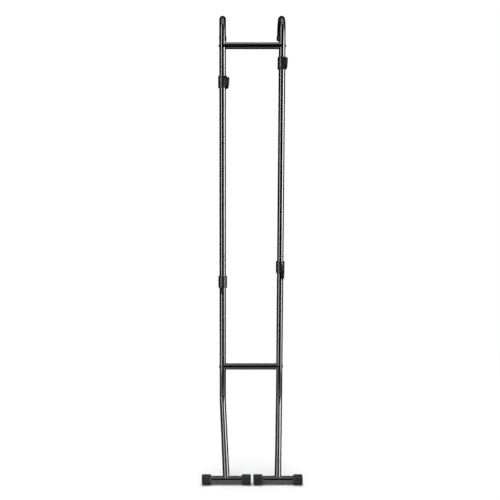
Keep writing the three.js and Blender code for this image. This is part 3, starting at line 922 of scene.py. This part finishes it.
def foot_rubber(net):
    """Moulded rubber: matt, fine grain, dusty in patches and scuffed where it meets the floor."""
    where = net.place()
    height = net.node("ShaderNodeSeparateXYZ", {}, {"Vector": where}, "Z")
    grain = net.noise(where, 1500, 3, 0.7)
    dust = net.between(net.noise(where, 90, 5, 0.6), 0.5, 0.75)
    scuff = net.between(height, 0.014, 0.001) * net.between(net.noise(where, 260, 4), 0.4, 0.7)
    net.surface({
        "Base Color": net.blend(dust * 0.45 + grain * 0.25 + scuff * 0.6, gray(0.003), gray(0.02, 0.04)),
        "Roughness": 0.28 + grain * 0.12 + dust * 0.16,
        "Specular IOR Level": 0.5,
        "Normal": net.bump(grain, 0.45, 0.00016, net.bump(net.noise(where, 240, 3), 0.2, 0.0004)),
    })


def knob_plastic(net):
    """Spark-eroded black plastic with handled, smoother lobes."""
    where = net.place()
    erosion = net.noise(where, 1300, 3, 0.75)
    handled = net.between(net.noise(where, 120, 3), 0.45, 0.7)
    net.surface({
        "Base Color": net.blend(erosion * 0.5, gray(0.008), gray(0.024)),
        "Roughness": 0.54 + erosion * 0.14 - handled * 0.14,
        "Normal": net.bump(erosion, 0.5, 0.00014),
    })


FINISHES = {make.__name__: make for make in (
    gloss_black_steel, satin_black_steel, black_zinc_steel, lining_plastic, soft_cover, foot_rubber,
    knob_plastic,
)}


def finish_material(name, make):
    material = bpy.data.materials.new(name)
    material.use_nodes = True
    make(Network(material.node_tree))
    return material


MATERIALS = {name: finish_material(name, make) for name, make in FINISHES.items()}


# Dressing the frame

def dress(node, shape):
    """Makes a finished piece of a shape, in place of a CAD node."""
    mesh = bpy.data.meshes.new(f"fine_{node}")
    shape.to_mesh(mesh)
    shape.free()
    mesh.materials.append(MATERIALS[SLOT_OF[node]])
    mesh.shade_smooth()
    mesh.set_sharp_from_angle(angle=SHARP_ANGLE)
    piece = bpy.data.objects.new(mesh.name, mesh)
    bpy.context.scene.collection.objects.link(piece)
    shading = piece.modifiers.new("even_shading", "WEIGHTED_NORMAL")
    shading.keep_sharp = True
    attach(piece, BODY_OF[node])
    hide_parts(node)


for side in SIDES:
    dress(f"{side}_cane_tube", cane_tube(side))
    dress(f"{side}_upper_pole", pole_tube(f"{side}_upper_pole"))
    dress(f"{side}_lower_pole", pole_tube(f"{side}_lower_pole"))
    dress(f"{side}_leg_tube", leg_tube(side))
    dress(f"{side}_foot_tube", foot_tube(side))
    dress(f"{side}_wall_boot", wall_boot(side))
    dress(f"{side}_inner_foot_cap", foot_cap(side, "inner"))
    dress(f"{side}_outer_foot_cap", foot_cap(side, "outer"))

for level in BAR_HEIGHTS:
    dress(f"{level}_crossbar", crossbar(level))
    for side in SIDES:
        dress(f"{level}_{side}_bolt", crossbar_bolt(level, side))
        plug = frame["nodes"][f"{level}_{side}_plug"]
        plug.data.materials.clear()
        plug.data.materials.append(MATERIALS[SLOT_OF[f"{level}_{side}_plug"]])

SWUNG_PIECES = {
    "collar": collar,
    "hook_rod": hook_rod,
    "hook_cover": hook_cover,
    "knob_screw": knob_screw,
    "knob_grip": knob_grip,
}
for arm in ARMS:
    pivot = Matrix.Translation(joint(f"{arm}_swing")["pos_m"])
    knob_axis = joint(f"{arm}_knob_turn")["axis"]
    swing = Matrix.Rotation(math.atan2(-knob_axis[0], knob_axis[1]), 4, "Z")
    dress(f"{arm}_bush", placed(liner_bush(), pivot))
    for part, make in SWUNG_PIECES.items():
        dress(f"{arm}_{part}", placed(make(), pivot @ swing))


# Studio

def pale_floor():
    """Seamless pale floor that keeps the tower's shadow.

    In reflections it is painted dark as painted shade, all but its stretch ahead of the feet.
    """
    floor = bmesh.new()
    bmesh.ops.create_circle(floor, cap_ends=True, radius=FLOOR_RADIUS, segments=TUBE_SIDES)
    mesh = bpy.data.meshes.new("studio_floor")
    floor.to_mesh(mesh)
    floor.free()
    material = bpy.data.materials.new("studio_floor")
    material.use_nodes = True
    net = Network(material.node_tree)
    path = net.node("ShaderNodeLightPath", output="Is Camera Ray")
    mirrored = path.output("Is Glossy Ray").or_more(path.output("Is Transmission Ray"))
    where = net.node("ShaderNodeTexCoord", output="Object")
    depth = net.node("ShaderNodeSeparateXYZ", {}, {"Vector": where}, "Y")
    stretch = net.between(depth, *FLOOR_MIRRORED_FROM) * net.between(depth, *FLOOR_MIRRORED_TO)
    away = net.node("ShaderNodeVectorMath", {"operation": "LENGTH"}, {0: where}, "Value")
    fade = net.between(away, FLOOR_RADIUS * FLOOR_FADE_SHARE, FLOOR_RADIUS)
    paper = net.blend(net.noise(where, 14, 4), gray(FLOOR_LEVEL - FLOOR_MOTTLE), gray(FLOOR_LEVEL))
    # Seen in reflections, the floor outside its stretch ahead of the feet is painted dark: painted shade
    lit = net.node("ShaderNodeBsdfPrincipled", {}, {
        "Base Color": net.blend(mirrored * (1 - stretch), paper, gray(ROOM_AND_FLOOR_SHADE_IN_REFLECTIONS)),
        "Roughness": FLOOR_ROUGHNESS,
        "Specular IOR Level": FLOOR_SPECULAR,
        "Emission Color": net.blend(path, gray(0), gray(FLOOR_GLOW)),
        "Emission Strength": 1.0,
    })
    open_sweep = net.blend(path, gray(AMBIENT_LOW), gray(1))
    # In reflections the faded, far floor shows the same painted shade instead of white
    sweep = net.blend(mirrored * (1 - stretch), open_sweep, gray(ROOM_AND_FLOOR_SHADE_IN_REFLECTIONS))
    white = net.node("ShaderNodeEmission", {}, {"Color": sweep})
    mixed = net.node("ShaderNodeMixShader", {}, {0: fade, 1: lit, 2: white})
    net.node("ShaderNodeOutputMaterial", {}, {"Surface": mixed})
    mesh.materials.append(material)
    stage = bpy.data.objects.new(mesh.name, mesh)
    bpy.context.scene.collection.objects.link(stage)


def studio_world():
    """White for the camera, and soft light that falls mostly from above.

    Reflections show white only straight behind the tower, a pale ceiling, and dark elsewhere.
    """
    world = bpy.data.worlds.new("studio")
    world.use_nodes = True
    net = Network(world.node_tree)
    path = net.node("ShaderNodeLightPath", output="Is Camera Ray")
    mirrored = path.output("Is Glossy Ray").or_more(path.output("Is Transmission Ray"))
    heading = net.node("ShaderNodeTexCoord", output="Generated")
    backwards = net.node("ShaderNodeSeparateXYZ", {}, {"Vector": heading}, "Y")
    upwards = backwards.output("Z")
    backdrop = net.between(backwards, BACKDROP_EDGE, BACKDROP_FULL)
    ceiling = net.between(upwards - backwards.or_more(0) * CEILING_LEAN, CEILING_EDGE, CEILING_FULL)
    white = path.or_more(mirrored * backdrop)
    reflected = net.blend(ceiling, gray(ROOM_AND_FLOOR_SHADE_IN_REFLECTIONS), gray(CEILING_IN_REFLECTIONS))
    overhead = upwards * math.cos(AMBIENT_LEAN) + backwards * math.sin(AMBIENT_LEAN)
    from_above = net.between(overhead, AMBIENT_EDGE, AMBIENT_FULL)
    dome = net.blend(from_above, gray(AMBIENT_LOW), gray(AMBIENT_HIGH))
    room = net.blend(mirrored, dome, reflected)
    colour = net.blend(white, room, gray(1))
    light = net.node("ShaderNodeBackground", {}, {"Color": colour, "Strength": 1.0})
    net.node("ShaderNodeOutputWorld", {}, {"Surface": light})
    bpy.context.scene.world = world


def soft_light(name, centre, target, size, radiance, mirrored):
    """Soft box of an even brightness, which shows either in reflections or as plain light."""
    width, height = size
    lamp = bpy.data.lights.new(name, "AREA")
    lamp.shape = "RECTANGLE"
    lamp.size = width
    lamp.size_y = height
    lamp.energy = radiance * math.pi * width * height
    box = bpy.data.objects.new(name, lamp)
    heading = (Vector(target) - Vector(centre)).to_track_quat("-Z", "Y")
    box.matrix_world = Matrix.Translation(centre) @ heading.to_matrix().to_4x4()
    box.visible_camera = False
    box.visible_diffuse = not mirrored
    box.visible_glossy = mirrored
    bpy.context.scene.collection.objects.link(box)
    return box


def upright_box(name, azimuth, width, heights, radiance, fades):
    """Tall soft box round the poles, whose light fades to a share of itself between two heights."""
    low, high = heights
    height = (low + high) / 2
    place = (BOX_DISTANCE * math.sin(azimuth), POLE_Y - BOX_DISTANCE * math.cos(azimuth), height)
    lamp = soft_light(name, place, (0, POLE_Y, height), (width, high - low), radiance, True).data
    lamp.use_nodes = True
    net = Network(lamp.node_tree)
    where = net.node("ShaderNodeNewGeometry", output="Position")
    z = net.node("ShaderNodeSeparateXYZ", {}, {"Vector": where}, "Z")
    level = 1
    for full, faded, share in fades:
        level = (1 - net.between(z, full, faded) * (1 - share)) * level
    white = net.blend(level, gray(0), gray(1))
    light = net.node("ShaderNodeEmission", {}, {"Color": white, "Strength": 1.0})
    net.node("ShaderNodeOutputLight", {}, {"Surface": light})


pale_floor()
studio_world()
upright_box("right_box", **RIGHT_BOX)
upright_box("left_box", **LEFT_BOX)
below = Vector(OVERHEAD_PLACE) - UP
soft_light("overhead_box", OVERHEAD_PLACE, below, OVERHEAD_SIZE, OVERHEAD_RADIANCE, True)
soft_light("key_light", KEY_PLACE, (0, POLE_Y, KEY_TARGET_HEIGHT), KEY_SIZE, KEY_RADIANCE, False)


# Camera at the photograph's angle

lens = bpy.data.cameras.new("camera")
lens.lens = CAMERA_LENS
lens.sensor_width = CAMERA_SENSOR
lens.shift_x = CAMERA_SHIFT
camera = bpy.data.objects.new("camera", lens)
camera.location = (CAMERA_X, POLE_Y - CAMERA_DISTANCE, CAMERA_HEIGHT)
camera.rotation_euler = (math.pi / 2 - CAMERA_PITCH, 0, 0)
bpy.context.scene.collection.objects.link(camera)
bpy.context.scene.camera = camera
bpy.context.scene.view_settings.view_transform = "Standard"
